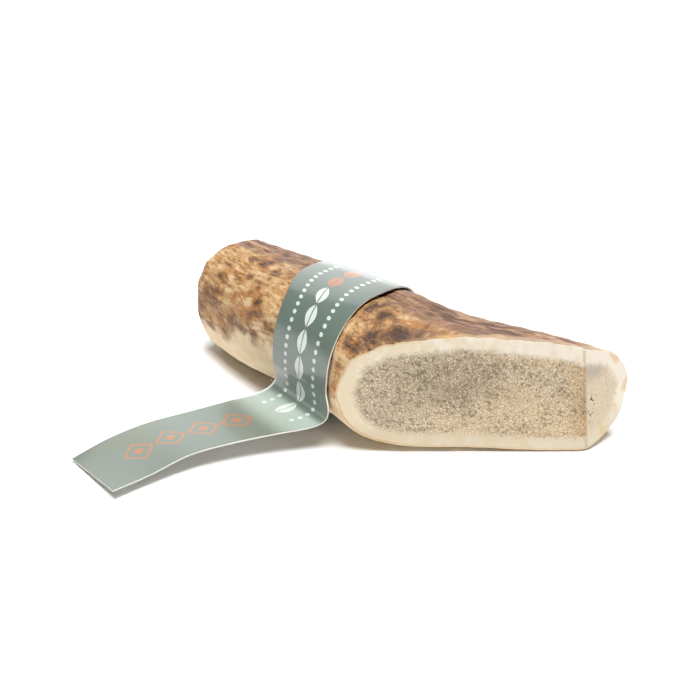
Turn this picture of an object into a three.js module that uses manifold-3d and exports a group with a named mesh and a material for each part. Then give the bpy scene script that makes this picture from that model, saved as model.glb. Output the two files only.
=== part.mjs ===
// A sawn length of deer antler that lies on its side, with a paper label wrapped round it.
//
// Millimetres, +Z up. Z = 0 is the surface that it lies on. +X runs along the beam, from the
// small sawn end to the wide end with its slanting cut, and the label's loose tail leaves the
// beam towards -Y. The origin is the middle of the base of the whole part's box.

import * as THREE from "three";
import { mergeVertices } from "three/addons/utils/BufferGeometryUtils.js";
import Module from "manifold-3d";

// The beam. Stations are distances along it from the small sawn end.
const sectionStep = 30; // from one of these sections to the next
const sections = [
  { halfWidth: 15.9, halfHeight: 18.2 },
  { halfWidth: 19.7, halfHeight: 18.5 },
  { halfWidth: 22.7, halfHeight: 18.5 },
  { halfWidth: 28.4, halfHeight: 18.5 },
  { halfWidth: 35.2, halfHeight: 19.0 },
  { halfWidth: 41.8, halfHeight: 20.3 },
];
const roundness = 2.35; // 2 is an ellipse, more is squarer: at the small end
const roundnessGain = 0.002; // and what each further millimetre adds
const bowDepth = 1.4; // how far the beam bows towards -Y
const bowLength = 100; // between the stations where it is back on its straight line
const twistPerMm = 11 / 120; // degrees that the section rolls for each millimetre
const easedEdge = 6; // rounding of the small end's rim

// Heights of the underside above the surface, equally spaced along the beam. Where they are
// below zero the antler is worn flat and rests, and the label passes under the hollow between.
const underside = [-0.3, -0.2, 1.6, 1.9, -0.3, 0.9, -0.3, -1.2];
const undersideStep = 21;

// The bark's relief, all cut into the sections above: long gutters, crossing rows of low knobs,
// and slow swells. Counts and slants are round the beam, and pitches are along it.
const gutters = { count: 13, depth: 0.34, wander: 1.1, wanderPitch: 119 };
const patches = { slant: 2, pitch: 69 }; // where the gutters are deeper
const knobs = { count: 9, slant: 4, pitch: 13, depth: 0.36 };
const swells = { count: 3, slant: 1, pitch: 67, start: 29, depth: 0.85 };
const smoothUnderside = 0.25; // share of the relief that is left below

// Clear of the label the bark stands out, level with the paper pressed on to it. This grows over
// the rise, from a margin beside the paper's edge, and fades between two sines of the angle below.
const proud = { height: 0.96, margin: 0.3, rise: 1.8, fadeFrom: -0.55, fadeTo: -0.1 };

// The two saw cuts at the wide end: heading from +X towards -Y, lean and distance from the
// middle of the small end's base.
const faceCut = { heading: 45.5, lean: -1.6, distance: 70.1 };
const facetCut = { heading: 11.6, lean: 2.5, distance: 118.2 };

// The paper label.
const labelWidth = 24.4;
const labelThickness = 0.45;
const labelGap = 0.35; // between the bark's highest points and the paper
const wrapMiddle = 54.9; // station of the label's middle where it crosses the crest
const wrapLean = 3.6; // it leans this far to either side of that
const leanAt = 65; // angle round the beam where it leans most
const leanOver = 30;
const crestSpread = 4; // more width along the beam where it crosses the crest aslant
const crestAt = 95;
const crestWidth = 40;
const stuckEnd = 315; // angle of the end that is stuck to the underside
const leaveAt = -8; // angle where the paper leaves the beam

// The tail's two edges after the paper has left the beam, from the beam to the square end.
const nearEdge = [
  [72.2, -26.4, 14.2],
  [71.6, -27.2, 10.8],
  [68.8, -30.2, 8.6],
  [62.0, -39.6, 7.4],
  [56.0, -49.9, 6.6],
  [51.3, -60.8, 5.8],
  [48.5, -72.3, 3.7],
  [46.8, -83.8, 3.4],
];
const farEdge = [
  [46.3, -22.6, 13.8],
  [45.2, -23.2, 10.2],
  [42.0, -26.4, 7.0],
  [36.3, -35.0, 4.9],
  [31.6, -44.6, 3.9],
  [27.1, -56.8, 3.6],
  [24.4, -68.8, 2.7],
  [23.0, -80.9, 0.9],
];

// Where the part's origin lies, from the middle of the small end's base.
const origin = { x: 64.0, y: -22.1 };

// How finely the surfaces are faceted.
const stationStep = 2.4;
const aroundCount = 72;
const rimRings = 5;
const wrapStep = 6; // degrees
const tailSteps = 26;
const shares = [0, 0.25, 0.5, 0.75, 1]; // across the paper, from its far edge to its near one

const radians = THREE.MathUtils.degToRad;
const wasm = await Module();
wasm.setup();

// A smooth curve through equally spaced points.
function smoothCurve(points) {
  return new THREE.CatmullRomCurve3(points, false, "catmullrom", 0.5);
}

const girth = smoothCurve(
  sections.map((each, i) => new THREE.Vector3(i * sectionStep, each.halfWidth, each.halfHeight)),
);
const belly = smoothCurve(underside.map((z, i) => new THREE.Vector3(i * undersideStep, 0, z)));
const girthEnd = (sections.length - 1) * sectionStep;
const beamEnd = (underside.length - 1) * undersideStep;

// A power of a cosine or sine that keeps its sign, which squares an ellipse up.
function signedPower(value, power) {
  return Math.sign(value) * Math.abs(value) ** power;
}

// A point of the beam's skin. The angle round it is 0 towards -Y, 90 on top and 180 at the
// back; inset draws the skin in towards the middle line.
function beamPoint(station, angle, inset = 0) {
  const { y: halfWidth, z: halfHeight } = girth.getPoint(station / girthEnd);
  const { z: clearance } = belly.getPoint(station / beamEnd);
  const power = roundness + roundnessGain * station;
  const roll = radians(twistPerMm * station);
  const across = (halfWidth - inset) * signedPower(Math.cos(angle), 2 / power);
  const up = (halfHeight - inset) * signedPower(Math.sin(angle), 2 / power);

  // the height of the section's middle above its lowest point, once it is rolled
  const dual = power / (power - 1);
  const wide = (halfWidth * Math.sin(roll)) ** dual;
  const high = (halfHeight * Math.cos(roll)) ** dual;
  const standing = (wide + high) ** (1 / dual);

  const out = across * Math.cos(roll) - up * Math.sin(roll);
  const rise = across * Math.sin(roll) + up * Math.cos(roll);
  const bowed = station / bowLength;
  const slope = ((-4 * bowDepth) / bowLength) * (1 - 2 * bowed);
  const side = new THREE.Vector2(slope, -1).normalize();
  return new THREE.Vector3(
    station + out * side.x,
    -4 * bowDepth * bowed * (1 - bowed) + out * side.y,
    standing + clearance + rise,
  );
}

// Hollows where two sets of waves cross, from 0 to 1.
function crossed(one, other) {
  return 0.5 - 0.5 * Math.sin(one) * Math.sin(other);
}

// How deep the bark's relief is cut below the smooth section.
function barkDepth(station, angle) {
  const along = (pitch, start = 0) => (2 * Math.PI * (station - start)) / pitch;
  const wander = gutters.wander * Math.sin(along(gutters.wanderPitch));
  const patch = 0.5 + 0.5 * Math.sin(along(patches.pitch) + patches.slant * angle);
  const gutter = patch * (0.5 + 0.5 * Math.sin(gutters.count * angle + wander));
  const row = along(knobs.pitch);
  const knob = crossed(knobs.count * angle + row, row - knobs.slant * angle);
  const slow = along(swells.pitch, swells.start);
  const swell = crossed(swells.count * angle - slow, swells.slant * angle + slow);
  const below = THREE.MathUtils.smoothstep(-Math.sin(angle), 0.2, 0.8);
  const share = THREE.MathUtils.lerp(1, smoothUnderside, below);
  return share * (gutters.depth * gutter + knobs.depth * knob + swells.depth * swell);
}

// Where the paper's middle line crosses the beam at one angle, and its width along the beam.
function wrapSpan(degrees) {
  const folded = Math.min(degrees, 180);
  const crest = Math.exp(-(((folded - crestAt) / crestWidth) ** 2));
  return {
    middle: wrapMiddle + wrapLean * Math.tanh((leanAt - folded) / leanOver),
    width: labelWidth + crestSpread * crest,
  };
}

// How far the bark stands out beside the label.
function proudHeight(station, angle) {
  const degrees = THREE.MathUtils.radToDeg(angle);
  const { middle, width } = wrapSpan(degrees > 270 ? degrees - 360 : degrees);
  const away = Math.abs(station - middle) - width / 2 - proud.margin;
  const beside = THREE.MathUtils.smoothstep(away, 0, proud.rise);
  const above = THREE.MathUtils.smoothstep(Math.sin(angle), proud.fadeFrom, proud.fadeTo);
  return proud.height * beside * above;
}

// A closed solid through rings of equally many points, with a fan over each end. Each ring
// runs clockwise, seen from the last one.
function loft(rings) {
  const count = rings[0].length;
  const points = rings.flat();
  const faces = [];
  for (let i = 0; i + 1 < rings.length; i++) {
    for (let j = 0; j < count; j++) {
      const a = i * count + j;
      const b = i * count + ((j + 1) % count);
      faces.push(a, b + count, b, a, a + count, b + count);
    }
  }
  const last = (rings.length - 1) * count;
  const middleOf = (ring) =>
    ring.reduce((sum, p) => sum.add(p), new THREE.Vector3()).divideScalar(count);
  const ends = points.push(middleOf(rings[0]), middleOf(rings.at(-1)));
  for (let j = 0; j < count; j++) {
    const next = (j + 1) % count;
    faces.push(ends - 2, j, next, ends - 1, last + next, last + j);
  }
  const geometry = new THREE.BufferGeometry().setFromPoints(points);
  geometry.setIndex(faces);
  return geometry;
}

// To a solid that can be cut, and back to a geometry.
function solidFrom(geometry) {
  geometry.deleteAttribute("normal");
  geometry.deleteAttribute("uv");
  const merged = mergeVertices(geometry, 1e-4);
  return new wasm.Manifold(
    new wasm.Mesh({
      numProp: 3,
      vertProperties: new Float32Array(merged.attributes.position.array),
      triVerts: new Uint32Array(merged.index.array),
    }),
  );
}

function geometryFrom(solid) {
  const mesh = solid.getMesh();
  const geometry = new THREE.BufferGeometry();
  geometry.setAttribute("position", new THREE.BufferAttribute(mesh.vertProperties, 3));
  geometry.setIndex(new THREE.BufferAttribute(mesh.triVerts, 1));
  geometry.computeVertexNormals();
  return geometry;
}

// Everything beyond a plane, as a block that is larger than the part.
function beyond(normal, distance) {
  const size = 400;
  const block = new THREE.BoxGeometry(size, size, size).translate(0, 0, size / 2);
  const turn = new THREE.Quaternion().setFromUnitVectors(new THREE.Vector3(0, 0, 1), normal);
  block.applyQuaternion(turn);
  block.translate(...normal.clone().multiplyScalar(distance));
  return solidFrom(block);
}

function cutNormal({ heading, lean }) {
  const level = Math.cos(radians(lean));
  return new THREE.Vector3(
    level * Math.cos(radians(heading)),
    -level * Math.sin(radians(heading)),
    Math.sin(radians(lean)),
  );
}

function makeAntler() {
  const ringAt = (station, drawnIn) =>
    Array.from({ length: aroundCount }, (_, j) => {
      const angle = (2 * Math.PI * j) / aroundCount;
      const relief = barkDepth(station, angle) - proudHeight(station, angle);
      return beamPoint(station, angle, drawnIn + relief);
    });
  const rings = [];
  for (let i = 0; i < rimRings; i++) {
    const turn = (Math.PI / 2) * (i / rimRings);
    rings.push(ringAt(easedEdge * (1 - Math.cos(turn)), easedEdge * (1 - Math.sin(turn))));
  }
  for (let station = easedEdge; station < beamEnd; station += stationStep) {
    rings.push(ringAt(station, 0));
  }
  const grown = solidFrom(loft(rings));
  const sawn = grown
    .subtract(beyond(cutNormal(faceCut), faceCut.distance))
    .subtract(beyond(cutNormal(facetCut), facetCut.distance))
    .subtract(beyond(new THREE.Vector3(0, 0, -1), 0));
  const material = new THREE.MeshStandardMaterial({ color: 0xb8966a, roughness: 0.6 });
  const antler = new THREE.Mesh(geometryFrom(sawn), material);
  antler.name = "antler";
  return antler;
}

// A row of points across the paper where it goes round the beam, at one angle.
function wrapRow(degrees) {
  const { middle, width } = wrapSpan(degrees);
  const lift = labelGap + labelThickness / 2;
  return shares.map((share) =>
    beamPoint(middle + width * (share - 0.5), radians(degrees), -lift),
  );
}

function makeLabel() {
  const rows = [];
  for (let degrees = stuckEnd; degrees > leaveAt; degrees -= wrapStep) {
    rows.push(wrapRow(degrees));
  }

  // the tail is straight across, between its two edges
  const toVectors = (list) => list.map((p) => new THREE.Vector3(...p));
  const leaving = wrapRow(leaveAt);
  const farCurve = smoothCurve([leaving[0], ...toVectors(farEdge)]);
  const nearCurve = smoothCurve([leaving.at(-1), ...toVectors(nearEdge)]);
  rows.push(leaving);
  for (let i = 1; i <= tailSteps; i++) {
    const far = farCurve.getPoint(i / tailSteps);
    const near = nearCurve.getPoint(i / tailSteps);
    rows.push(shares.map((share) => far.clone().lerp(near, share)));
  }

  // half of the paper's thickness goes to either side of the middle sheet
  const rings = rows.map((row, i) => {
    const before = rows[Math.max(i - 1, 0)];
    const after = rows[Math.min(i + 1, rows.length - 1)];
    const across = row.at(-1).clone().sub(row[0]);
    const halves = row.map((_, j) =>
      after[j].clone().sub(before[j]).cross(across).setLength(labelThickness / 2),
    );
    const outer = row.map((point, j) => point.clone().add(halves[j]));
    const inner = row.map((point, j) => point.clone().sub(halves[j]));
    return [...outer, ...inner.reverse()];
  });
  const material = new THREE.MeshStandardMaterial({ color: 0x889c8e, roughness: 0.45 });
  const label = new THREE.Mesh(loft(rings), material);
  label.name = "label";
  return label;
}

const part = new THREE.Group();
part.name = "deer_antler";
part.add(makeAntler(), makeLabel());
part.position.set(-origin.x, -origin.y, 0);

export default part;
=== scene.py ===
# A sawn length of deer antler with a paper label wrapped round it, lying on a white table.
# The dictionaries hold millimetres and degrees unless a note says otherwise. Meshes are in metres.

import bpy
import numpy as np
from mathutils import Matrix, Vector


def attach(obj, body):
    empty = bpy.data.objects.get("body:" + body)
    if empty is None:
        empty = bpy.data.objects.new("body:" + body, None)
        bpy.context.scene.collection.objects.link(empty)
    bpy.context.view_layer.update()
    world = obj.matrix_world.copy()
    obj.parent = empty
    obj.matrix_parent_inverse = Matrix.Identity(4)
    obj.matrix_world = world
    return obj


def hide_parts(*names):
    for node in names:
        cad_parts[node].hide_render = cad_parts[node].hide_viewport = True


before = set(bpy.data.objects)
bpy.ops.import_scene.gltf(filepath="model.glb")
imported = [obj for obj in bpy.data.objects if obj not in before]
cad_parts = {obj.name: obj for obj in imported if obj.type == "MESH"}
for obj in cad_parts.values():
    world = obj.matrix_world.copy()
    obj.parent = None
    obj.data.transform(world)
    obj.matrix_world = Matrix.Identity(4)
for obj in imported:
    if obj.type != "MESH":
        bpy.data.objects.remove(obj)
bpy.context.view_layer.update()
print("frame loaded:", ", ".join(sorted(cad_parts)))

mm = 0.001


# Curves, blends and repeatable noise, all on whole arrays

def smoothCurve(points, share):
    # a cubic through equally spaced points; its slope at each is half the step between its neighbours
    points = np.asarray(points, float)
    first, last = 2 * points[:1] - points[1:2], 2 * points[-1:] - points[-2:-1]
    padded = np.concatenate([first, points, last])
    place = np.clip(share, 0, 1) * (len(points) - 1)
    start = np.minimum(place.astype(int), len(points) - 2)
    t = (place - start)[..., None] if points.ndim > 1 else place - start
    a, b, c, d = (padded[start + k] for k in range(4))
    slopeB, slopeC = (c - a) / 2, (d - b) / 2
    cubic = (2 * b - 2 * c + slopeB + slopeC) * t + (3 * c - 3 * b - 2 * slopeB - slopeC)
    return (cubic * t + slopeB) * t + b


def eased(value, low, high):
    # 0 at low, 1 at high, 3t2 - 2t3 between them and no change beyond; low may be the larger
    t = np.clip((value - low) / (high - low), 0, 1)
    return t * t * (3 - 2 * t)


def signedPower(value, power):
    return np.sign(value) * np.abs(value) ** power


axisPrimes = (73856093, 19349663, 83492791)
stirrers = (0x9E3779B97F4A7C15, 0xBF58476D1CE4E5B9)  # odd numbers whose bits are well mixed


def scattered(cells, seed):
    # a repeatable number from 0 to 1 for each whole-numbered cell: the top 24 bits of the stirred
    # products of its coordinates and the primes
    whole = cells.astype(np.int64).astype(np.uint64)
    x, y, z = (whole[..., k] * np.uint64(axisPrimes[k]) for k in range(3))
    mixed = ((x ^ y ^ z) + np.uint64(seed)) * np.uint64(stirrers[0])
    mixed = (mixed ^ (mixed >> np.uint64(31))) * np.uint64(stirrers[1])
    return (mixed >> np.uint64(40)).astype(float) / 2**24


def softNoise(places, seed):
    # numbers scattered on a unit lattice and blended between the eight corners of a cell, from -1 to 1
    whole = np.floor(places)
    part = eased(places - whole, 0, 1)
    total = np.zeros(places.shape[:-1])
    for corner in np.ndindex(2, 2, 2):
        side = np.array(corner)
        share = np.prod(np.where(side == 1, part, 1 - part), axis=-1)
        total += share * scattered(whole + side, seed)
    return 2 * total - 1


# The antler. A pair of values whose name ends in At is the two between which something sets in.

beam = dict(
    sectionStep=30,  # between the sections below, from the small sawn end
    halfWidths=(15.9, 19.7, 22.7, 28.4, 35.2, 41.8),
    halfHeights=(18.2, 18.5, 18.5, 18.5, 19.0, 20.3),
    roundness=2.35,  # 2 is an ellipse, more is squarer
    roundnessGain=0.002,  # for each millimetre along the beam
    bowDepth=1.4,
    bowLength=100,
    twistPerMm=11 / 120,
    easedEdge=6,  # rounding of the small end's rim
    underside=(-0.3, -0.2, 1.6, 1.9, -0.3, 0.9, -0.3, -1.2),  # its height above the table
    undersideStep=21,
    origin=(64.0, -22.1, 0.0),
)

bark = dict(
    gutterCount=13, gutterDepth=0.34, gutterWander=1.1, gutterWanderPitch=119,
    patchSlant=2, patchPitch=69,
    knobCount=9, knobSlant=4, knobPitch=13, knobDepth=0.36,
    swellCount=3, swellSlant=1, swellPitch=67, swellStart=29, swellDepth=0.85,
    smoothUnderside=0.25, smoothAt=(0.2, 0.8),  # share of the relief that is left below
    proud=0.96, proudAt=(-1.1, 1.3),  # how far the bark stands out, from the label's edge on
    proudSineAt=(-0.55, -0.1),  # how far round it does so, as a sine of the angle
    paperEdge=0.1, underPaper=0.25,  # up to there it stands out no further than this, below the paper
    girth=19,  # radius that turns an angle into millimetres round the beam
    grooveLength=15, grooveWidth=1.3, grooveDepth=0.3, grooveSeed=3,  # fine grooves along the beam
    grooveSineAt=(0.55, 0.95), grooveWide=0.6, grooveWideAt=(62, 85),  # on the crest and the wide end
    pearlSize=2.6, pearlDepth=0.16, pearlSeed=5,  # small low bumps
    slant=0.006,  # radians for each millimetre that the strokes turn round the beam
)

sawn = dict(
    faceHeading=45.5, faceLean=-1.6, faceDistance=70.1,
    facetHeading=11.6, facetLean=2.5, facetDistance=118.2,
    faceMiddle=(37.5, 22.8, 19.1),
    firstStation=40, lastStation=147,  # every line along the bark meets the cuts between these
    ridgeSoftness=1.0,  # how wide the ridge between the two cuts is worn
    rimRadius=0.45,  # rounding of the cuts' rim
    barkStop=1.5,  # rim radii before the cuts where the bark's own grid ends
    ringTop=3.8,  # thickness of the pale outer ring
    ringLeft=1.6, ringLeftAt=(24, 38),  # what it gains towards the left tip
    ringRight=0.9, ringRightAt=(4, 24), ringRightEndAt=(34, 30), ringRightUpAt=(0, 10),
    endRing=0.6,  # its thickness at the small end, as a share
    poreSize=0.62, poreDepth=0.25, poreAt=(0.05, 0.75), poreCoreAt=(-0.4, 1.2),
    finerPores=2.2, poreSeeds=(11, 12),
    facetAt=(-0.3, 0.3), facetShallow=0.6,  # how much shallower the pores are beyond the ridge
    noRidge=20,  # distance that is noted where there is no ridge
)

paper = dict(
    width=24.4,
    thickness=0.45,
    gap=0.35,
    wrapMiddle=54.9, wrapLean=3.6, leanAt=65, leanOver=30,
    crestSpread=4, crestAt=95, crestWidth=40,
    stuckEnd=315, leaveAt=-8,
    nearEdge=(
        (72.2, -26.4, 14.2), (71.6, -27.2, 10.8), (68.8, -30.2, 8.6), (62.0, -39.6, 7.4),
        (56.0, -49.9, 6.6), (51.3, -60.8, 5.8), (48.5, -72.3, 3.7), (46.8, -83.8, 3.4)),
    farEdge=(
        (46.3, -22.6, 13.8), (45.2, -23.2, 10.2), (42.0, -26.4, 7.0), (36.3, -35.0, 4.9),
        (31.6, -44.6, 3.9), (27.1, -56.8, 3.6), (24.4, -68.8, 2.7), (23.0, -80.9, 0.9)),
    wrapRows=240, tailRows=140, columns=32,
)

finesse = dict(
    around=360, along=112, endRings=10, rimRings=4, faceRows=112, endRows=52,
    tipSearch=2001,  # points of the outline in which its left tip is looked for
    evenShare=0.6,  # how far the points keep to equal lengths rather than equal angles
    halvings=40, slides=12,  # rounds of the two searches for a cut
    sharpAngle=50,  # edges that turn by more are drawn sharp
)


def beamPoint(station, angle, inset):
    # A squared ellipse, |across/halfWidth|^power + |up/halfHeight|^power = 1, drawn in by the inset,
    # rolled about the beam, set on the underside's curve and square to the bowed middle line.
    station, angle, inset = np.broadcast_arrays(station, angle, inset)
    girthShare = station / (beam["sectionStep"] * (len(beam["halfWidths"]) - 1))
    halfWidth = smoothCurve(beam["halfWidths"], girthShare)
    halfHeight = smoothCurve(beam["halfHeights"], girthShare)
    clearance = smoothCurve(
        beam["underside"], station / (beam["undersideStep"] * (len(beam["underside"]) - 1)))
    power = beam["roundness"] + beam["roundnessGain"] * station
    roll = np.radians(beam["twistPerMm"] * station)
    across = (halfWidth - inset) * signedPower(np.cos(angle), 2 / power)
    up = (halfHeight - inset) * signedPower(np.sin(angle), 2 / power)
    dual = power / (power - 1)
    standing = (np.abs(halfWidth * np.sin(roll)) ** dual
                + np.abs(halfHeight * np.cos(roll)) ** dual) ** (1 / dual)
    out = across * np.cos(roll) - up * np.sin(roll)
    rise = across * np.sin(roll) + up * np.cos(roll)
    bowed = station / beam["bowLength"]
    slope = -4 * beam["bowDepth"] / beam["bowLength"] * (1 - 2 * bowed)
    length = np.hypot(slope, 1)
    x = station + out * slope / length
    y = -4 * beam["bowDepth"] * bowed * (1 - bowed) - out / length
    return np.stack([x, y, standing + clearance + rise], -1) - beam["origin"]


def crossed(one, other):
    return 0.5 - 0.5 * np.sin(one) * np.sin(other)


def grainOf(station, angle):
    # the beam as if it were a straight cylinder: millimetres along it and two across
    station, angle = np.broadcast_arrays(station, angle)
    return np.stack([station, bark["girth"] * np.cos(angle), bark["girth"] * np.sin(angle)], -1)


def barkDepth(station, angle):
    # gutters, crossing rows of knobs and slow swells, as waves of the angle and the station, and over
    # them fine grooves and pearls from noise; all of it is cut inwards
    station, angle = np.broadcast_arrays(station, angle)
    along = 2 * np.pi * station
    wander = bark["gutterWander"] * np.sin(along / bark["gutterWanderPitch"])
    patch = 0.5 + 0.5 * np.sin(along / bark["patchPitch"] + bark["patchSlant"] * angle)
    gutter = patch * (0.5 + 0.5 * np.sin(bark["gutterCount"] * angle + wander))
    row = along / bark["knobPitch"]
    knob = crossed(bark["knobCount"] * angle + row, row - bark["knobSlant"] * angle)
    slow = 2 * np.pi * (station - bark["swellStart"]) / bark["swellPitch"]
    swell = crossed(bark["swellCount"] * angle - slow, bark["swellSlant"] * angle + slow)
    below = eased(-np.sin(angle), *bark["smoothAt"])
    share = 1 + (bark["smoothUnderside"] - 1) * below

    grain = grainOf(station, angle)
    grooveScale = np.array([bark["grooveLength"], bark["grooveWidth"], bark["grooveWidth"]])
    groove = 1 - np.abs(softNoise(grain / grooveScale, bark["grooveSeed"]))
    rough = eased(np.sin(angle), *bark["grooveSineAt"])
    rough = rough + bark["grooveWide"] * eased(station, *bark["grooveWideAt"])
    pearl = 0.5 + 0.5 * softNoise(grain / bark["pearlSize"], bark["pearlSeed"])
    coarse = bark["gutterDepth"] * gutter + bark["knobDepth"] * knob + bark["swellDepth"] * swell
    fine = bark["grooveDepth"] * np.minimum(rough, 1) * groove**3 + bark["pearlDepth"] * pearl
    return share * (coarse + fine)


def wrapSpan(degrees):
    # where the paper's middle line crosses the beam at one angle, and its width along the beam
    folded = np.minimum(degrees, 180)
    lean = np.tanh((paper["leanAt"] - folded) / paper["leanOver"])
    middle = paper["wrapMiddle"] + paper["wrapLean"] * lean
    crest = np.exp(-(((folded - paper["crestAt"]) / paper["crestWidth"]) ** 2))
    return middle, paper["width"] + paper["crestSpread"] * crest


def proudHeight(station, angle):
    # the distance from the label's edge, and how far the bark stands out there to lie level with the
    # paper: an eased step across the edge times an eased step round the beam
    degrees = (np.degrees(angle) + 90) % 360 - 90
    middle, width = wrapSpan(degrees)
    away = np.abs(station - middle) - width / 2
    above = eased(np.sin(angle), *bark["proudSineAt"])
    return away, bark["proud"] * eased(away, *bark["proudAt"]) * above


def skinPoint(station, angle, inset):
    # the beam's surface with its relief, worn flat where it would reach below the table
    away, proud = proudHeight(station, angle)
    relief = barkDepth(station, angle) - proud
    relief = np.where(away < bark["paperEdge"], np.maximum(relief, -bark["underPaper"]), relief)
    points = beamPoint(station, angle, inset + relief)
    points[..., 2] = np.maximum(points[..., 2], 0)
    return points


def cutPlane(heading, lean, distance):
    heading, lean = np.radians(heading), np.radians(lean)
    normal = np.array([np.cos(lean) * np.cos(heading), -np.cos(lean) * np.sin(heading), np.sin(lean)])
    return normal, distance - normal @ beam["origin"]


faceNormal, faceOffset = cutPlane(sawn["faceHeading"], sawn["faceLean"], sawn["faceDistance"])
facetNormal, facetOffset = cutPlane(sawn["facetHeading"], sawn["facetLean"], sawn["facetDistance"])
faceSide = np.array([-faceNormal[1], faceNormal[0], 0]) / np.hypot(*faceNormal[:2])
faceUp = np.cross(faceNormal, faceSide)


def beyondCuts(points):
    # millimetres beyond the saw cuts: the larger of the distances past the two planes, with the
    # corner between them rounded off by a parabola
    face, facet = points @ faceNormal - faceOffset, points @ facetNormal - facetOffset
    near = np.maximum(sawn["ridgeSoftness"] - np.abs(face - facet), 0) / sawn["ridgeSoftness"]
    return np.maximum(face, facet) + near * near * sawn["ridgeSoftness"] / 4


def cutStation(angle, inset, before):
    # where each line along the bark comes within "before" of the cuts, found by halving
    low = np.full(angle.shape, float(sawn["firstStation"]))
    high = np.full(angle.shape, float(sawn["lastStation"]))
    for _ in range(finesse["halvings"]):
        middle = (low + high) / 2
        short = beyondCuts(skinPoint(middle, angle, inset)) < -before
        low, high = np.where(short, middle, low), np.where(short, high, middle)
    return low


def loopAngles(count):
    # angles round the beam, from the cut's left tip, spaced partly by the length of the cut's outline
    fine = np.linspace(0, 2 * np.pi, finesse["tipSearch"])
    outline = skinPoint(cutStation(fine, 0, 0), fine, 0)
    tip = fine[np.argmin(outline @ faceSide)]
    fine = fine + tip
    outline = skinPoint(cutStation(fine, 0, 0), fine, 0)
    steps = np.linalg.norm(np.diff(outline, axis=0), axis=1)
    arc = np.concatenate([[0], np.cumsum(steps)])
    share = finesse["evenShare"] * arc / arc[-1] + (1 - finesse["evenShare"]) * (fine - tip) / (2 * np.pi)
    return np.interp(np.arange(count) / count, share, fine)


def cellFaces(numbers):
    # two triangles for each cell of a table of vertex numbers, without those that have shrunk to a line
    a, b, c, d = numbers[:-1, :-1], numbers[:-1, 1:], numbers[1:, 1:], numbers[1:, :-1]
    faces = np.concatenate([np.stack(each, -1).reshape(-1, 3) for each in ([a, b, c], [a, c, d])])
    real = (faces != np.roll(faces, 1, axis=1)).all(axis=1)
    return faces[real]


def closedTable(numbers):
    return np.concatenate([numbers, numbers[:, :1]], axis=1)


def chordTable(loop, rows, firstNew):
    # vertex numbers of a cap: column k runs from loop point k to its mirror point on the other side,
    # so the first and the last column are one point each; inner points are numbered from firstNew
    half = len(loop) // 2
    table = np.empty((half + 1, rows + 1), int)
    table[:, 0] = loop[: half + 1]
    table[:, -1] = np.roll(loop, -1)[::-1][: half + 1]
    table[1:-1, 1:-1] = firstNew + np.arange((half - 1) * (rows - 1)).reshape(half - 1, rows - 1)
    table[0, :], table[-1, :] = loop[0], loop[half]
    return table


def rimDistance(points, outline):
    # distance to the nearest point of the outline
    gap = (points**2).sum(1)[:, None] - 2 * points @ outline.T + (outline**2).sum(1)
    return np.sqrt(np.maximum(gap.min(axis=1), 0))


def chordPoints(loop, rows):
    # the inner points of chordTable's columns, in the same order
    half = len(loop) // 2
    start, end = loop[1:half, None], np.roll(loop, -1, axis=0)[::-1][1:half, None]
    share = (np.arange(1, rows) / rows)[None, :, None]
    return (start + share * (end - start)).reshape(-1, 3)


def ringThickness(points):
    # the pale ring is thicker at the left tip and at the upper right
    side = (points - sawn["faceMiddle"]) @ faceSide
    up = (points - sawn["faceMiddle"]) @ faceUp
    ring = sawn["ringTop"] + sawn["ringLeft"] * eased(-side, *sawn["ringLeftAt"])
    right = eased(side, *sawn["ringRightAt"]) * eased(side, *sawn["ringRightEndAt"])
    return ring + sawn["ringRight"] * right * eased(up, *sawn["ringRightUpAt"])


def poresAt(points, inside):
    # pits of the porous core: noise of two sizes, kept where it is high, and faded out at the ring
    places = points / sawn["poreSize"]
    coarseSeed, fineSeed = sawn["poreSeeds"]
    noise = softNoise(places, coarseSeed) + 0.5 * softNoise(places / sawn["finerPores"], fineSeed)
    return eased(noise, *sawn["poreAt"]) * eased(inside, *sawn["poreCoreAt"])


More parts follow.
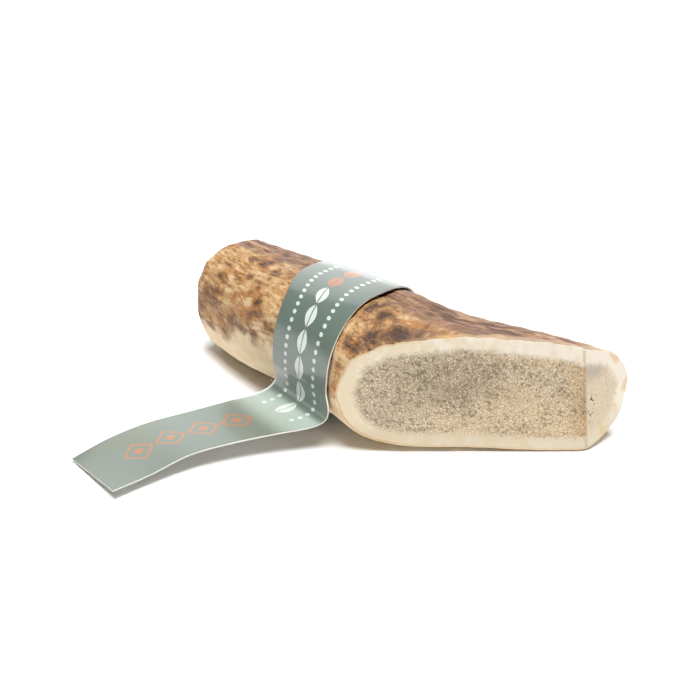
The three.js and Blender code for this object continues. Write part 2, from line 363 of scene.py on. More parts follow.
def makeAntler():
    around, along = finesse["around"], finesse["along"]
    fineAngles = loopAngles(2 * around)
    angles = fineAngles[::2]

    # the small end's rim, a quarter round, and then the bark up to just before the cuts
    turn = np.linspace(0, np.pi / 2, finesse["endRings"], endpoint=False)[:, None]
    rimStation = np.broadcast_to(beam["easedEdge"] * (1 - np.cos(turn)), (len(turn), around))
    rimInset = beam["easedEdge"] * (1 - np.sin(turn))
    lastStation = cutStation(angles, 0, sawn["barkStop"] * sawn["rimRadius"])
    share = np.linspace(0, 1, along)[:, None]
    barkStation = beam["easedEdge"] + share * (lastStation - beam["easedEdge"])
    stations = np.concatenate([rimStation, barkStation])
    insets = np.concatenate([np.broadcast_to(rimInset, rimStation.shape), np.zeros(barkStation.shape)])
    skin = skinPoint(stations, angles, insets)
    skinTable = np.arange(skin[..., 0].size).reshape(stations.shape)

    # the cuts' rounded rim, twice as fine round the beam
    turn = np.linspace(0, np.pi / 2, finesse["rimRings"])
    rings = []
    for each in turn:
        inset = sawn["rimRadius"] * (1 - np.cos(each))
        station = cutStation(fineAngles, inset, sawn["rimRadius"] * (1 - np.sin(each)))
        rings.append((station, skinPoint(station, fineAngles, inset)))
    rim = np.stack([points for _, points in rings])
    rimTable = skinTable.size + np.arange(rim[..., 0].size).reshape(rim.shape[:2])
    coarse, fine = closedTable(skinTable[-1:])[0], closedTable(rimTable[:1])[0]
    stitch = np.concatenate([
        np.stack([coarse[:-1], fine[1:-1:2], fine[:-2:2]], -1),
        np.stack([coarse[:-1], coarse[1:], fine[1:-1:2]], -1),
        np.stack([coarse[1:], fine[2::2], fine[1:-1:2]], -1),
    ])

    # the sawn faces: chords between the loop's two sides, slid along X on to the cuts
    loop = rim[-1]
    faceTable = chordTable(rimTable[-1], finesse["faceRows"], skinTable.size + rimTable.size)
    face = chordPoints(loop, finesse["faceRows"])
    for _ in range(finesse["slides"]):
        face[:, 0] -= beyondCuts(face)
    faceRim = rimDistance(face, loop)
    inside = faceRim - ringThickness(face)
    pores = poresAt(face, inside)
    ridge = (face @ faceNormal - faceOffset) - (face @ facetNormal - facetOffset)
    onFacet = eased(-ridge, *sawn["facetAt"])
    normals = faceNormal + onFacet[:, None] * (facetNormal - faceNormal)
    face -= (sawn["poreDepth"] * pores * (1 - sawn["facetShallow"] * onFacet))[:, None] * normals

    # the small end's flat cut
    endLoop = skin[0]
    endTable = chordTable(skinTable[0], finesse["endRows"], skinTable.size + rimTable.size + len(face))
    end = chordPoints(endLoop, finesse["endRows"])
    endRim = rimDistance(end, endLoop)
    endInside = endRim - sawn["endRing"] * sawn["ringTop"]
    endPores = poresAt(end, endInside)
    end[:, 0] += sawn["poreDepth"] * endPores

    points = np.concatenate([skin.reshape(-1, 3), rim.reshape(-1, 3), face, end])
    faces = np.concatenate([
        cellFaces(closedTable(skinTable))[:, ::-1], stitch,
        cellFaces(closedTable(rimTable))[:, ::-1], cellFaces(faceTable), cellFaces(endTable)[:, ::-1],
    ])

    # what the material reads: where each point is on the bark, and what was sawn there
    rimStations = np.stack([station for station, _ in rings])
    allStations = np.concatenate([stations.ravel(), rimStations.ravel()])
    allAngles = np.concatenate([np.tile(angles, len(stations)), np.tile(fineAngles, len(rimStations))])
    flat = len(face) + len(end)
    grain = np.concatenate([grainOf(allStations, allAngles), np.zeros((flat, 3))])
    twisted = grainOf(allStations, allAngles + bark["slant"] * allStations)
    twisted = np.concatenate([twisted, np.zeros((flat, 3))])
    hollow = np.concatenate([barkDepth(allStations, allAngles), np.zeros(flat)])
    cut = np.zeros(len(points))
    cut[rimTable[-1]], cut[skinTable[0]] = 1, 1
    cut[-flat:] = 1
    detail = np.zeros((len(points), 3))
    detail[:-flat, 0] = beyondCuts(points[:-flat]) - sawn["ringTop"]
    detail[-flat:, 0] = np.concatenate([inside, endInside])
    detail[:, 1] = sawn["noRidge"]
    detail[-flat:-len(end), 1] = ridge
    detail[-flat:, 2] = np.concatenate([pores, endPores])
    rimField = np.concatenate([np.zeros(allStations.size), faceRim, endRim])
    fields = dict(grain=grain, twisted=twisted, hollow=hollow, cut=cut, sawn=detail, rim=rimField)
    return addMesh("antler_piece", points, faces, fields, [antlerFinish()])


def linked(name, data):
    made = bpy.data.objects.new(name, data)
    bpy.context.scene.collection.objects.link(made)
    return made


def addMesh(name, points, faces, fields, materials, slots=None):
    # a mesh object from arrays in millimetres, with its fields as attributes of its vertices; its
    # volume is a sixth of the sum of a . (b x c) over its triangles
    a, b, c = (points[faces[:, k]] for k in range(3))
    volume = np.einsum("ij,ij->", a, np.cross(b, c)) / 6
    print(f"{name}: {len(faces)} triangles, {volume / 1000:.2f} cm3")
    mesh = bpy.data.meshes.new(name)
    mesh.vertices.add(len(points))
    mesh.vertices.foreach_set("co", (points * mm).astype(np.float32).ravel())
    mesh.loops.add(faces.size)
    mesh.loops.foreach_set("vertex_index", faces.astype(np.int32).ravel())
    mesh.polygons.add(len(faces))
    mesh.polygons.foreach_set("loop_start", np.arange(0, faces.size, 3, dtype=np.int32))
    mesh.polygons.foreach_set("use_smooth", np.ones(len(faces), bool))
    if slots is not None:
        mesh.polygons.foreach_set("material_index", slots.astype(np.int32))
    mesh.update(calc_edges=True)
    for field, values in fields.items():
        kind, key = ("FLOAT", "value") if values.ndim == 1 else ("FLOAT_VECTOR", "vector")
        attribute = mesh.attributes.new(field, kind, "POINT")
        attribute.data.foreach_set(key, values.astype(np.float32).ravel())
    for material in materials:
        mesh.materials.append(material)
    mesh.set_sharp_from_angle(angle=np.radians(finesse["sharpAngle"]))
    return linked(name, mesh)


# The paper label

def wrapRows(degrees):
    # rows of points across the paper where it goes round the beam; it leans, and widens over the crest
    degrees = degrees[:, None]
    middle, width = wrapSpan(degrees)
    share = np.linspace(0, 1, paper["columns"] + 1)
    lift = paper["gap"] + paper["thickness"] / 2
    return beamPoint(middle + width * (share - 0.5), np.radians(degrees), -lift)


def makeLabel():
    # middle sheet: rows round the beam, then the tail, which is straight across between its two edges
    degrees = np.linspace(paper["stuckEnd"], paper["leaveAt"], paper["wrapRows"])
    wrapped = wrapRows(degrees)
    steps = np.linspace(0, 1, paper["tailRows"] + 1)[1:]
    origin = np.array(beam["origin"])
    farLine = np.concatenate([wrapped[-1, :1], np.array(paper["farEdge"]) - origin])
    nearLine = np.concatenate([wrapped[-1, -1:], np.array(paper["nearEdge"]) - origin])
    share = np.linspace(0, 1, paper["columns"] + 1)[None, :, None]
    far, near = smoothCurve(farLine, steps)[:, None, :], smoothCurve(nearLine, steps)[:, None, :]
    middle = np.concatenate([wrapped, far + share * (near - far)])

    # half of the thickness to either side of it
    forward = np.gradient(middle, axis=0)
    across = middle[:, -1:] - middle[:, :1]
    half = np.cross(forward, np.broadcast_to(across, forward.shape))
    half *= paper["thickness"] / 2 / np.linalg.norm(half, axis=-1, keepdims=True)
    rows, columns = middle.shape[:2]
    sheets = np.stack([middle + half, middle - half])
    numbers = np.arange(2 * rows * columns).reshape(2, rows, columns)
    outer, inner = numbers
    faces = [
        cellFaces(outer), cellFaces(inner)[:, ::-1],
        cellFaces(np.stack([outer[:, 0], inner[:, 0]], 1))[:, ::-1],
        cellFaces(np.stack([outer[:, -1], inner[:, -1]], 1)),
        cellFaces(np.stack([outer[0], inner[0]])), cellFaces(np.stack([outer[-1], inner[-1]]))[:, ::-1],
    ]
    slots = np.repeat([0, 1, 1, 1, 1, 1], [len(each) for each in faces])

    # where each point is on the flat strip: along it from the square end, and across it
    centre = middle[:, columns // 2]
    lengths = np.concatenate([[0], np.cumsum(np.linalg.norm(np.diff(centre, axis=0), axis=1))])
    along = (lengths[-1] - lengths)[:, None]
    sideways = paper["width"] * (share[0, :, 0] - 0.5)
    strip = np.stack(np.broadcast_arrays(along, sideways, 0.0), -1)
    fields = dict(strip=np.concatenate([strip.reshape(-1, 3)] * 2))
    print(f"paper strip: {lengths[-1]:.0f} mm long")
    return addMesh("label_paper", sheets.reshape(-1, 3), np.concatenate(faces), fields,
                   [printedFinish(), cutPaperFinish()], slots)


# Materials

def tone(red, green, blue):
    # a colour as it is seen on a screen, from 0 to 255, turned into the amount of light
    share = np.array([red, green, blue]) / 255
    light = np.where(share <= 0.04045, share / 12.92, ((share + 0.055) / 1.055) ** 2.4)
    return (*light.tolist(), 1)


class Wire:  # the value that leaves a node, which can be used in sums
    def __init__(self, bench, socket):
        self.bench = bench
        self.socket = socket

    def maths(self, operation, *others):
        values = dict(enumerate([self, *others]))
        return self.bench.node("ShaderNodeMath", dict(operation=operation), values)

    def __add__(self, other):
        return self.maths("ADD", other)

    __radd__ = __add__

    def __sub__(self, other):
        return self.maths("SUBTRACT", other)

    def __rsub__(self, other):
        return self.bench.node("ShaderNodeMath", dict(operation="SUBTRACT"), {0: other, 1: self})

    def __mul__(self, other):
        return self.maths("MULTIPLY", other)

    __rmul__ = __mul__

    def __truediv__(self, other):
        return self.maths("DIVIDE", other)

    def size(self):
        return self.maths("ABSOLUTE")

    def most(self, other):
        return self.maths("MAXIMUM", other)

    def hypot(self, other):
        return (self * self + other * other).maths("SQRT")

    def eased(self, low, high):
        # 0 at low and 1 at high, or the other way round if low is the larger
        settings = dict(interpolation_type="SMOOTHSTEP")
        ends = {1: low, 2: high} if low < high else {1: high, 2: low, 3: 1, 4: 0}
        return self.bench.node("ShaderNodeMapRange", settings, {0: self, **ends})


class Bench:  # a material, or the sky, and its nodes; store is the list that it is kept in
    def __init__(self, name, store=bpy.data.materials):
        self.material = store.new(name)
        self.material.use_nodes = True
        self.tree = self.material.node_tree
        self.tree.nodes.clear()

    def node(self, kind, settings, sockets, out=0):
        # a node of this kind, with its settings and then its sockets, each by number or name; a wire
        # is linked and any other value is set
        made = self.tree.nodes.new(kind)
        for key, value in settings.items():
            setattr(made, key, value)
        for key, value in sockets.items():
            if isinstance(value, Wire):
                self.tree.links.new(value.socket, made.inputs[key])
            else:
                made.inputs[key].default_value = value
        return Wire(self, made.outputs[out]) if made.outputs else None

    def field(self, name, out="Vector"):
        return self.node("ShaderNodeAttribute", dict(attribute_name=name), {}, out)

    def parts(self, vector):
        return [self.node("ShaderNodeSeparateXYZ", {}, {0: vector}, k) for k in range(3)]

    def vectorMaths(self, operation, one, other, out="Vector"):
        return self.node("ShaderNodeVectorMath", dict(operation=operation), {0: one, 1: other}, out)

    def noise(self, vector, size, detail=2.0, roughness=0.5, distortion=0.0, stretch=1.0, shift=0.0):
        # noise whose lumps are about this many millimetres across, and longer along X by stretch
        factors = (1 / (size * stretch), 1 / size, 1 / size)
        place = self.vectorMaths("MULTIPLY", vector, factors)
        place = self.vectorMaths("ADD", place, [shift] * 3)
        values = {"Vector": place, "Scale": 1.0, "Detail": detail, "Roughness": roughness}
        return self.node("ShaderNodeTexNoise", {}, {**values, "Distortion": distortion})

    def blend(self, share, first, second):
        settings = dict(data_type="RGBA")
        return self.node("ShaderNodeMix", settings, {0: share, 6: first, 7: second}, 2)

    def bump(self, height, distance, strength):
        values = {"Strength": strength, "Distance": distance * mm, "Height": height}
        return self.node("ShaderNodeBump", {}, values)

    def finish(self, **values):
        sockets = {key.replace("_", " "): value for key, value in values.items()}
        shader = self.node("ShaderNodeBsdfPrincipled", {}, sockets)
        self.node("ShaderNodeOutputMaterial", {}, {0: shader})
        return self.material

    def inMillimetres(self):
        place = self.node("ShaderNodeTexCoord", {}, {}, "Object")
        return self.vectorMaths("MULTIPLY", place, [1 / mm] * 3)


antlerTones = dict(
    pale=tone(197, 172, 134), tan=tone(182, 144, 98), honey=tone(166, 117, 69),
    brown=tone(116, 82, 57), dark=tone(64, 49, 41), golden=tone(206, 166, 112),
    cream=tone(234, 213, 180), belly=tone(222, 194, 154),
    crest=tone(164, 130, 108), streak=tone(90, 62, 52),
    ring=tone(234, 224, 208), ringWarm=tone(225, 209, 180), ringLow=tone(200, 186, 158),
    stain=tone(218, 182, 126), rim=tone(204, 158, 96),
    coreGrey=tone(184, 166, 139), coreTan=tone(204, 179, 143),
    speck=tone(242, 228, 204), pore=tone(114, 99, 80),
    # the ridge's brown is a real stain, and on the line along the ridge also painted shadow of a step
    facet=tone(215, 199, 174), haze=tone(176, 166, 148), ridgeStainAndShade=tone(174, 138, 94),
)

barkLook = dict(
    darkSpots=(  # station, angle and size of each
        (80, 52, 5.4), (84.5, 65, 5.4), (75, 76, 3.2), (70, 73, 2.6), (77, 39, 3.0), (90, 76, 3.5),
        (35, 34, 3.4), (24, 80, 3.0), (13, 43, 2.6), (9, 22, 2.8), (25, 56, 2.4)),
    spotPart=0.85, spotLumps=3.5, spotStrokes=2.5, spotMiddle=0.2,
    wideAt=(54, 70),  # stations of the wide end, where the lumps count for more
    lumpSize=4.6, lumpStretch=1.2, lumpPart=3.0, lumpWide=1.6,
    strokeSize=1.9, strokeStretch=2.6, strokePart=3.2, strokeWide=-1.6,
    gritSize=0.9, gritStretch=1.4, gritPart=1.4, gritWide=0.9,
    hollowPart=0.35, hollowUsual=0.65, brownMore=0.04, brownWide=0.16,
    flankPale=0.85, flankAt=(0.6, 0.2),
    warmSize=7, warmAt=(0.4, 0.62),
    paleAt=(-0.05, -0.6), brownAt=(0.0, 0.65), brownShare=0.8, darkAt=(0.6, 1.3), darkShare=0.85,
    goldenAt=(3.6, 0.6), goldenLumps=3.0, goldenGrit=2.0, goldenShare=0.75,  # beside the cut
    goldenStationAt=(86, 97), goldenPaleAt=(98, 114),
    crestAngle=106, crestAt=(0.93, 0.99), crestShare=0.6,
    lineSize=1.7, lineStretch=6, lineHollow=0.05, lineAt=(0.45, 0.62), lineShare=0.9,
    lineWide=0.6, lineWideAt=(80, 104), lineGolden=0.7,
    bellyHeight=-0.24, bellyRise=0.3, bellyRiseAt=(4, 42), bellyDrop=0.22, bellyDropAt=(48, 64),
    waveSize=7, bellyWave=0.3, bellyStrokes=0.4, bellyAt=(0.17, -0.13),
    bellySize=4, bellyToneAt=(0.35, 0.7),
    seamHeight=0.03, seamAt=(0.06, 0.01), seamSize=4, seamBrokenAt=(0.4, 0.6), seamShare=0.35,
    flatAt=(-0.05, 0.05),  # the lumps are rubbed flat below the seam
)


def barkFinish(bench, tones):
    # Tan bark under brown lumps, with a broken net of strokes that lean round the beam. Depth says how
    # far the brown covers a place: lumps, strokes, grit, the relief's hollows and the dark spots, less
    # on the wide end's flank. Beside the large cut the bark turns golden and then cream, long streaks
    # run along the crest, and below a dark seam the bone is rubbed cream. Returns colour and depth.
    look = barkLook
    grain, twisted = bench.field("grain"), bench.field("twisted")
    station, outward, upward = bench.parts(grain)
    height = upward / bark["girth"]
    hollow = bench.field("hollow", "Fac")
    wide = station.eased(*look["wideAt"])

    warm = bench.noise(grain, look["warmSize"], distortion=0.3, shift=4)
    grit = bench.noise(grain, look["gritSize"], detail=3, roughness=0.75, distortion=0.2,
                       stretch=look["gritStretch"], shift=9)
    strokes = bench.noise(twisted, look["strokeSize"], roughness=0.55, distortion=0.5,
                          stretch=look["strokeStretch"])
    lumps = bench.noise(grain, look["lumpSize"], detail=4, roughness=0.6, distortion=0.5,
                        stretch=look["lumpStretch"], shift=6)
    depth = (look["lumpPart"] + look["lumpWide"] * wide) * (lumps - 0.5)
    depth = depth + (look["strokePart"] + look["strokeWide"] * wide) * (strokes - 0.5)
    depth = depth + (look["gritPart"] + look["gritWide"] * wide) * (grit - 0.5)
    depth = depth + look["hollowPart"] * (hollow - look["hollowUsual"])
    depth = depth + look["brownWide"] * wide + look["brownMore"]
    depth = depth - look["flankPale"] * height.eased(*look["flankAt"]) * wide
    for place, girthAngle, size in look["darkSpots"]:
        spot = grainOf(place, np.radians(girthAngle)).tolist()
        away = bench.vectorMaths("DISTANCE", grain, spot, "Value")
        away = away + look["spotLumps"] * (lumps - 0.5) + look["spotStrokes"] * (strokes - 0.5)
        depth = depth + look["spotPart"] * away.eased(size, look["spotMiddle"] * size)
    colour = bench.blend(warm.eased(*look["warmAt"]), tones["tan"], tones["honey"])
    colour = bench.blend(depth.eased(*look["paleAt"]), colour, tones["pale"])
    colour = bench.blend(depth.eased(*look["brownAt"]) * look["brownShare"], colour, tones["brown"])
    colour = bench.blend(depth.eased(*look["darkAt"]) * look["darkShare"], colour, tones["dark"])

    fromCut = bench.parts(bench.field("sawn"))[0] * -1 - sawn["ringTop"]
    golden = fromCut + look["goldenLumps"] * (lumps - 0.5) + look["goldenGrit"] * (grit - 0.5)
    golden = golden.eased(*look["goldenAt"]) * station.eased(*look["goldenStationAt"])
    goldenTone = bench.blend(station.eased(*look["goldenPaleAt"]), tones["golden"], tones["cream"])
    colour = bench.blend(golden * look["goldenShare"], colour, goldenTone)

    towards = np.radians(look["crestAngle"])
    crest = outward * (float(np.cos(towards)) / bark["girth"]) + height * float(np.sin(towards))
    crest = crest.eased(*look["crestAt"])
    colour = bench.blend(crest * look["crestShare"], colour, tones["crest"])
    lines = bench.noise(grain, look["lineSize"], detail=5, roughness=0.7, distortion=0.8,
                        stretch=look["lineStretch"], shift=2)
    lines = (lines + look["lineHollow"] * hollow).eased(*look["lineAt"])
    streaky = crest.most(look["lineWide"] * station.eased(*look["lineWideAt"]))
    streaky = streaky * (1 - look["lineGolden"] * golden)
    colour = bench.blend(lines * streaky * look["lineShare"], colour, tones["streak"])

    wave = bench.noise(grain, look["waveSize"], detail=1.6, stretch=1.4, shift=7)
    seam = look["bellyRise"] * station.eased(*look["bellyRiseAt"]) + look["bellyHeight"]
    seam = seam - look["bellyDrop"] * station.eased(*look["bellyDropAt"])
    above = height - seam + look["bellyWave"] * (wave - 0.5)
    soft = bench.noise(grain, look["bellySize"], detail=3, roughness=0.6, stretch=3, shift=1)
    belly = bench.blend(soft.eased(*look["bellyToneAt"]), tones["cream"], tones["belly"])
    ragged = above + look["bellyStrokes"] * (strokes - 0.5)
    colour = bench.blend(ragged.eased(*look["bellyAt"]), colour, belly)
    broken = bench.noise(grain, look["seamSize"], stretch=1.5, shift=5).eased(*look["seamBrokenAt"])
    onSeam = (above - look["seamHeight"]).size().eased(*look["seamAt"])
    colour = bench.blend(onSeam * broken * look["seamShare"], colour, tones["brown"])
    return colour, depth * above.eased(*look["flatAt"])


sawnLook = dict(
    raggedSize=1.0, coreAt=(-1.2, 1.6), coreRagged=4.0,  # where the core starts, and how unevenly
    warmAt=(-0.5, 0.6), warmSide=0.014, warmUp=-0.01, warmPatch=1.6,
    dimSide=-5, dimUp=5, dimWidth=24, dimHeight=13, dimAt=(1.1, 0.2), dimPart=0.36,  # darkest part
    patchSize=9, patchPart=0.4,
    speckSize=0.55, speckAt=(0.47, 0.62), speckShare=0.7,
    fineSize=0.42, finePart=2.6, pitPart=0.4, poreAt=(-0.1, 0.7), poreShare=0.75,
    beyondAt=(0.2, -0.2), facetPart=1.6,
    hazeSide=34.5, hazeUp=9.5, hazeAt=(7.0, 2.0), hazeRagged=5.0, hazeFine=4.0,  # a greyer place
    hazePart=2.0, hazeLess=0.2,
    pitSize=1.1, pitAt=(0.62, 0.68),  # a few open pits on the small cut
    pitSideAt=(31, 32.5), pitSideEndAt=(37.5, 35.5), pitUpAt=(-10, -7), pitUpEndAt=(1, -2),
    ridgeAt=(3.8, 0.6), ridgeSideAt=(-0.4, 0.2), ridgePatch=3.0,  # the browner strip along the ridge
    ridgeStainAt=(0.3, 0.6), ridgeStainShare=0.45,
    ridgePoreAt=(0.46, 0.36), ridgeRagged=0.3, ridgePoreShare=0.6,
    ringSize=5, ringWarmAt=(0.38, 0.66), ringSlope=0.004, ringLowAt=(-6, -14), ringLowShare=0.6,
    stainSize=6, stainAt=(0.57, 0.68), stainSideAt=(10, 18), stainShare=0.6,
    # the seam: a dark line along the ridge, part stain and part painted shadow of the step between the
    # cuts
    seamAt=(0.4, 0.1), seamRaggedAt=(0.3, 0.5), seamShare=0.5,
    rimAt=(0.6, 0.2), rimRagged=0.8, rimShare=0.6,
    rimSideAt=(-8, -24), rimUpAt=(-14, -17), rimUpShare=0.4,
)


def sawnFinish(bench, tones, place):
    # A pale ring round a porous core that is grey at the left, tan at the right and dimmer in one
    # place, under pale specks and dark pores. Beyond the ridge between the two cuts it turns pale,
    # with one greyer place and a few open pits; the ridge is stained, with a dark line along it that is
    # part stain and part painted shadow of a step, and the rim is golden.
    look = sawnLook
    inside, ridge, pore = bench.parts(bench.field("sawn"))
    side = bench.vectorMaths("DOT_PRODUCT", place, tuple(faceSide), "Value")
    side = side - float(np.dot(sawn["faceMiddle"], faceSide))
    up = bench.parts(place)[2] - sawn["faceMiddle"][2]

    ragged = bench.noise(place, look["raggedSize"], detail=4, roughness=0.8, distortion=0.2)
    core = (inside + look["coreRagged"] * (ragged - 0.5)).eased(*look["coreAt"])
    patch = bench.noise(place, look["patchSize"], detail=3, roughness=0.55, distortion=0.3, shift=3)
    warmth = look["warmSide"] * side + look["warmUp"] * up + look["warmPatch"] * (patch - 0.5)
    colour = bench.blend(warmth.eased(*look["warmAt"]), tones["coreGrey"], tones["coreTan"])
    dimX = (side - look["dimSide"]) / look["dimWidth"]
    dimY = (up - look["dimUp"]) / look["dimHeight"]
    dim = dimX.hypot(dimY).eased(*look["dimAt"])
    salt = bench.noise(place, look["speckSize"], roughness=0.75)
    colour = bench.blend(salt.eased(*look["speckAt"]) * look["speckShare"], colour, tones["speck"])
    fine = bench.noise(place, look["fineSize"], roughness=0.7, shift=6)
    deep = look["pitPart"] * pore + look["finePart"] * (0.5 - fine)
    deep = deep + look["patchPart"] * (0.5 - patch) + look["dimPart"] * dim
    colour = bench.blend(deep.eased(*look["poreAt"]) * look["poreShare"], colour, tones["pore"])

    beyond = ridge.eased(*look["beyondAt"])
    colour = bench.blend(beyond * (look["facetPart"] * fine), colour, tones["facet"])
    hazeX, hazeY = side - look["hazeSide"], up - look["hazeUp"]
    hazy = hazeX.hypot(hazeY) + look["hazeRagged"] * (ragged - 0.5) + look["hazeFine"] * (fine - 0.5)
    grained = look["hazePart"] * (1 - fine) - look["hazeLess"]
    colour = bench.blend(beyond * hazy.eased(*look["hazeAt"]) * grained, colour, tones["haze"])
    pits = bench.noise(place, look["pitSize"], detail=1, shift=14).eased(*look["pitAt"])
    pitted = side.eased(*look["pitSideAt"]) * side.eased(*look["pitSideEndAt"])
    pitted = pitted * up.eased(*look["pitUpAt"]) * up.eased(*look["pitUpEndAt"])
    colour = bench.blend(pits * pitted, colour, tones["dark"])

    nearRidge = (ridge + look["ridgePatch"] * (patch - 0.5)).eased(*look["ridgeAt"])
    nearRidge = nearRidge * ridge.eased(*look["ridgeSideAt"])
    stained = ragged.eased(*look["ridgeStainAt"]) * look["ridgeStainShare"]
    colour = bench.blend(nearRidge * stained, colour, tones["ridgeStainAndShade"])
    ridgePores = (fine + look["ridgeRagged"] * (ragged - 0.5)).eased(*look["ridgePoreAt"])
    colour = bench.blend(nearRidge * ridgePores * look["ridgePoreShare"], colour, tones["pore"])

    ringPatch = bench.noise(place, look["ringSize"], detail=3, roughness=0.65, shift=8)
    ringPatch = (ringPatch - look["ringSlope"] * side).eased(*look["ringWarmAt"])
    ring = bench.blend(ringPatch, tones["ring"], tones["ringWarm"])
    ring = bench.blend(up.eased(*look["ringLowAt"]) * look["ringLowShare"], ring, tones["ringLow"])
    stains = bench.noise(place, look["stainSize"], shift=17).eased(*look["stainAt"])
    stains = stains * side.eased(*look["stainSideAt"])
    ring = bench.blend(stains * look["stainShare"], ring, tones["stain"])
    colour = bench.blend(core, ring, colour)
    # a dark line along the ridge: part stain, part painted shadow of the step between the two cuts
    seam = ridge.size().eased(*look["seamAt"]) * ragged.eased(*look["seamRaggedAt"])
    colour = bench.blend(seam * look["seamShare"], colour, tones["ridgeStainAndShade"])
    edge = (bench.field("rim", "Fac") + look["rimRagged"] * (ragged - 0.5)).eased(*look["rimAt"])
    golden = side.eased(*look["rimSideAt"]).most(up.eased(*look["rimUpAt"]) * look["rimUpShare"])
    return bench.blend(edge * golden * look["rimShare"], colour, tones["rim"])


antlerLook = dict(
    cutAt=(0.35, 0.65), gloss=0.25,
    gritSize=0.8, gritStretch=2.5, lumpRelief=0.5, grainSize=0.5, bumpDepth=0.3, bumpStrength=0.6,
    roughSize=3, barkRough=0.42, barkRoughMore=0.2, cutRough=0.78,
)


def antlerFinish():
    # bark and sawn faces on one mesh, told apart by the cut field, each with its own roughness and a
    # bump of fine grit
    bench, look = Bench("antler bone"), antlerLook
    place = bench.inMillimetres()
    cut = bench.field("cut", "Fac").eased(*look["cutAt"])
    bare = sawnFinish(bench, antlerTones, place)
    skin, depth = barkFinish(bench, antlerTones)
    colour = bench.blend(cut, skin, bare)
    grain = bench.field("grain")
    grit = bench.noise(grain, look["gritSize"], detail=3, roughness=0.65, stretch=look["gritStretch"])
    boneGrain = bench.noise(place, look["grainSize"], roughness=0.6)
    relief = (grit - look["lumpRelief"] * depth) * (1 - cut) + boneGrain * cut
    normal = bench.bump(relief, look["bumpDepth"], look["bumpStrength"])
    rough = bench.noise(grain, look["roughSize"], shift=3) * look["barkRoughMore"] + look["barkRough"]
    rough = rough * (1 - cut) + cut * look["cutRough"]
    gloss = {"Specular IOR Level": look["gloss"]}
    return bench.finish(Base_Color=colour, Roughness=rough, Normal=normal, **gloss)


paperTones = dict(
    sage=tone(106, 120, 110), olive=tone(110, 119, 103), deepSage=tone(80, 98, 92),
    # the pale sage is a painted sheen for the paper's fold
    sheenSage=tone(166, 180, 170), white=tone(226, 226, 220), bare=tone(226, 224, 214),
    orange=tone(176, 108, 62), ink=tone(210, 216, 210),
)

printedLook = dict(
    lozengeFrom=10, lozengeTo=50, lozengePitch=10, lozengeHalf=5.4, lozengeLine=1.0,
    lozengeCoreAt=(1.9, 1.6), lozengeShare=0.8,
    leafFrom=56, leafTo=120, leafPitch=8, leafWidth=2.1, veinAt=(0.1, 0.3), leafShare=0.9,
    orangeFrom=104,
    dotPitch=2.6, dotRadius=0.7, dotRow=6.4, dotShare=0.85,
    edgeBlur=0.1, lineBlur=0.12,  # half the width over which a printed edge fades
    cloudSize=14, cloudAt=(0.35, 0.65),
    deepAt=(62, 72), deepShare=0.5,  # deeper green round the beam
    foldSheenAt=(47, 56), foldSheenEndAt=(64, 61), foldSheenShare=0.9,  # painted sheen: paler where the paper bends
    edgeHighlightAt=(-11.2, -11.9), edgeHighlightAlongAt=(49, 57), edgeHighlightEndAt=(70, 64),  # painted highlight: white along its edge
    fibreSize=0.5, roughness=0.42, coat=1.0, coatRoughness=0.14,
)


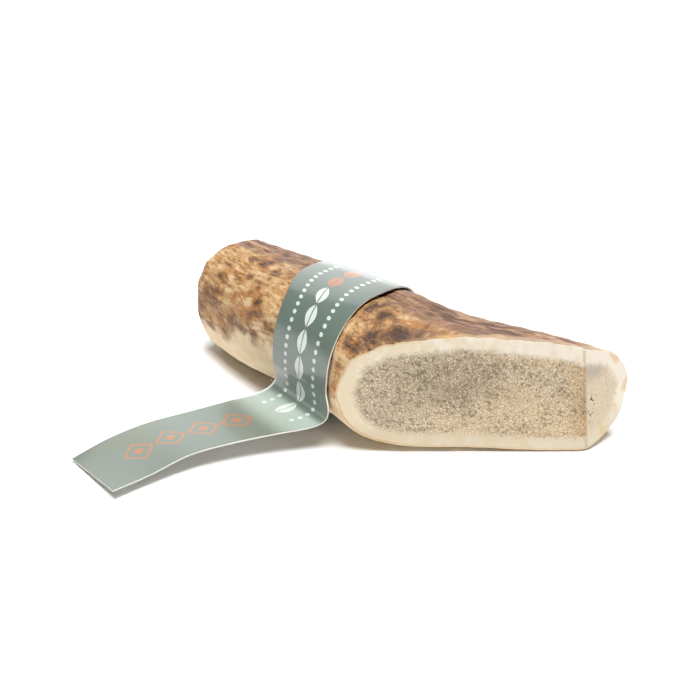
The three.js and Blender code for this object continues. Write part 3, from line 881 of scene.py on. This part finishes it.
def printedFinish():
    # sage green coated paper, deeper green round the beam, with a painted sheen at the fold and a painted
    # white highlight along one edge there: a chain of orange lozenges on the tail, then a row of white
    # leaves that end in orange, with a line of dots on either side
    bench, look = Bench("printed paper"), printedLook
    along, sideways, _ = bench.parts(bench.field("strip"))
    place = bench.inMillimetres()
    cloud = bench.noise(place, look["cloudSize"])
    colour = bench.blend(cloud.eased(*look["cloudAt"]), paperTones["sage"], paperTones["olive"])
    deep = along.eased(*look["deepAt"]) * look["deepShare"]
    colour = bench.blend(deep, colour, paperTones["deepSage"])
    # painted sheen: the sage turns paler where the paper bends
    foldSheen = along.eased(*look["foldSheenAt"]) * along.eased(*look["foldSheenEndAt"])
    colour = bench.blend(foldSheen * look["foldSheenShare"], colour, paperTones["sheenSage"])
    fibre = bench.noise(place, look["fibreSize"], detail=3, roughness=0.7)
    blur = look["edgeBlur"]

    def repeated(start, pitch):
        return (((along - start) / pitch).maths("FRACT") - 0.5) * pitch

    def between(start, end):
        return along.maths("GREATER_THAN", start) * along.maths("LESS_THAN", end)

    diamond = repeated(look["lozengeFrom"], look["lozengePitch"]).size() + sideways.size()
    outline = (diamond - (look["lozengeHalf"] - look["lozengeLine"])).size()
    halfLine, lineBlur = look["lozengeLine"] / 2, look["lineBlur"]
    chain = outline.eased(halfLine + lineBlur, halfLine - lineBlur)
    chain = chain.most(diamond.eased(*look["lozengeCoreAt"]))
    chain = chain * between(look["lozengeFrom"], look["lozengeTo"])
    colour = bench.blend(chain * look["lozengeShare"], colour, paperTones["orange"])

    # painted highlight: white along the far edge where the paper bends
    edgeHighlight = along.eased(*look["edgeHighlightAlongAt"]) * along.eased(*look["edgeHighlightEndAt"])
    edgeHighlight = edgeHighlight * sideways.eased(*look["edgeHighlightAt"])
    colour = bench.blend(edgeHighlight, colour, paperTones["white"])
    cell = repeated(look["leafFrom"], look["leafPitch"]) / (look["leafPitch"] / 2)
    reach = (1 - cell * cell) * look["leafWidth"]
    leaf = (sideways.size() - reach).eased(-0.5 * blur, -2.5 * blur)
    leaf = leaf * sideways.size().eased(*look["veinAt"])
    leaf = leaf * between(look["leafFrom"], look["leafTo"]) * look["leafShare"]
    turning = along.eased(look["orangeFrom"] - blur, look["orangeFrom"] + blur)
    inks = bench.blend(turning, paperTones["ink"], paperTones["orange"])
    colour = bench.blend(leaf, colour, inks)

    step = repeated(look["leafFrom"], look["dotPitch"])
    row = sideways.size() - look["dotRow"]
    dot = step.hypot(row).eased(look["dotRadius"] + blur, look["dotRadius"] - blur)
    dot = dot * between(look["leafFrom"], look["leafTo"]) * look["dotShare"]
    colour = bench.blend(dot, colour, paperTones["ink"])
    coat = dict(Coat_Weight=look["coat"], Coat_Roughness=look["coatRoughness"])
    normal = bench.bump(fibre, distance=0.05, strength=0.25)
    return bench.finish(Base_Color=colour, Roughness=look["roughness"], Normal=normal, **coat)


barePaper = dict(fibreSize=0.4, fibreAt=(0.3, 0.7), roughness=0.8)


def cutPaperFinish():
    # bare white paper on the back and along the cut edges
    bench = Bench("cut paper")
    fibre = bench.noise(bench.inMillimetres(), barePaper["fibreSize"], detail=3, roughness=0.7)
    colour = bench.blend(fibre.eased(*barePaper["fibreAt"]), paperTones["white"], paperTones["bare"])
    normal = bench.bump(fibre, distance=0.08, strength=0.4)
    return bench.finish(Base_Color=colour, Roughness=barePaper["roughness"], Normal=normal)


# The table, the light and the camera

table = dict(halfSize=3000, colour=tone(246, 246, 246))

lights = dict(
    key=dict(place=(230, -165, 1400), spread=29, power=5.0),  # distant, and this many degrees wide
    back=dict(place=(-540, 420, 300), size=580, power=1.6),
    glow=1.0, glowFrom=2, glowTo=11,  # of the horizon, and the degrees above it where that fades
)

camera = dict(
    target=(-28.5, 42.6, 0), azimuth=44, elevation=29.86, distance=399,
    focal=61.7, sensor=36,
    nearest=10, furthest=20000,
)


def makeTable():
    half = table["halfSize"] * mm
    mesh = bpy.data.meshes.new("table")
    corners = [(-half, -half, 0), (half, -half, 0), (half, half, 0), (-half, half, 0)]
    mesh.from_pydata(corners, [], [(0, 1, 2, 3)])
    bench = Bench("white table")
    mesh.materials.append(bench.finish(Base_Color=table["colour"], Roughness=0.9))
    floor = linked("table", mesh)


def makeLights():
    # a soft distant lamp from above, a weak one from behind, and a sky that is pale at the horizon only
    key, back = bpy.data.lights.new("key", "SUN"), bpy.data.lights.new("back", "AREA")
    key.angle = np.radians(lights["key"]["spread"])
    back.size = lights["back"]["size"] * mm
    for light in (key, back):
        light.energy = lights[light.name]["power"]
        lamp = linked(light.name, light)
        lamp.location = Vector(lights[light.name]["place"]) * mm
        lamp.rotation_euler = (-lamp.location).to_track_quat("-Z", "Y").to_euler()
    bench = Bench("sky", bpy.data.worlds)
    rise = bench.parts(bench.node("ShaderNodeTexCoord", {}, {}, "Generated"))[2]
    low, high = np.sin(np.radians([lights["glowFrom"], lights["glowTo"]])).tolist()
    strength = rise.eased(high, low) * lights["glow"]
    sky = bench.node("ShaderNodeBackground", {}, {"Color": (1, 1, 1, 1), "Strength": strength})
    bench.node("ShaderNodeOutputWorld", {}, {0: sky})
    bpy.context.scene.world = bench.material
    bpy.context.scene.view_settings.view_transform = "Standard"


def makeCamera():
    # on a sphere round the target; azimuth 0 looks along +Y
    turn, rise = np.radians(camera["azimuth"]), np.radians(camera["elevation"])
    back = Vector((np.sin(turn) * np.cos(rise), -np.cos(turn) * np.cos(rise), np.sin(rise)))
    lens = bpy.data.cameras.new("camera")
    lens.lens, lens.sensor_width = camera["focal"], camera["sensor"]
    lens.clip_start, lens.clip_end = camera["nearest"] * mm, camera["furthest"] * mm
    eye = linked("camera", lens)
    eye.location = (Vector(camera["target"]) + camera["distance"] * back) * mm
    eye.rotation_euler = back.to_track_quat("Z", "Y").to_euler()
    bpy.context.scene.camera = eye


makeCamera()
makeTable()
makeLights()
print("camera, table and lights are up")

antler = makeAntler()
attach(antler, "root")
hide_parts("antler")
print("antler made")

label = makeLabel()
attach(label, "root")
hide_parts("label")
print("label made")
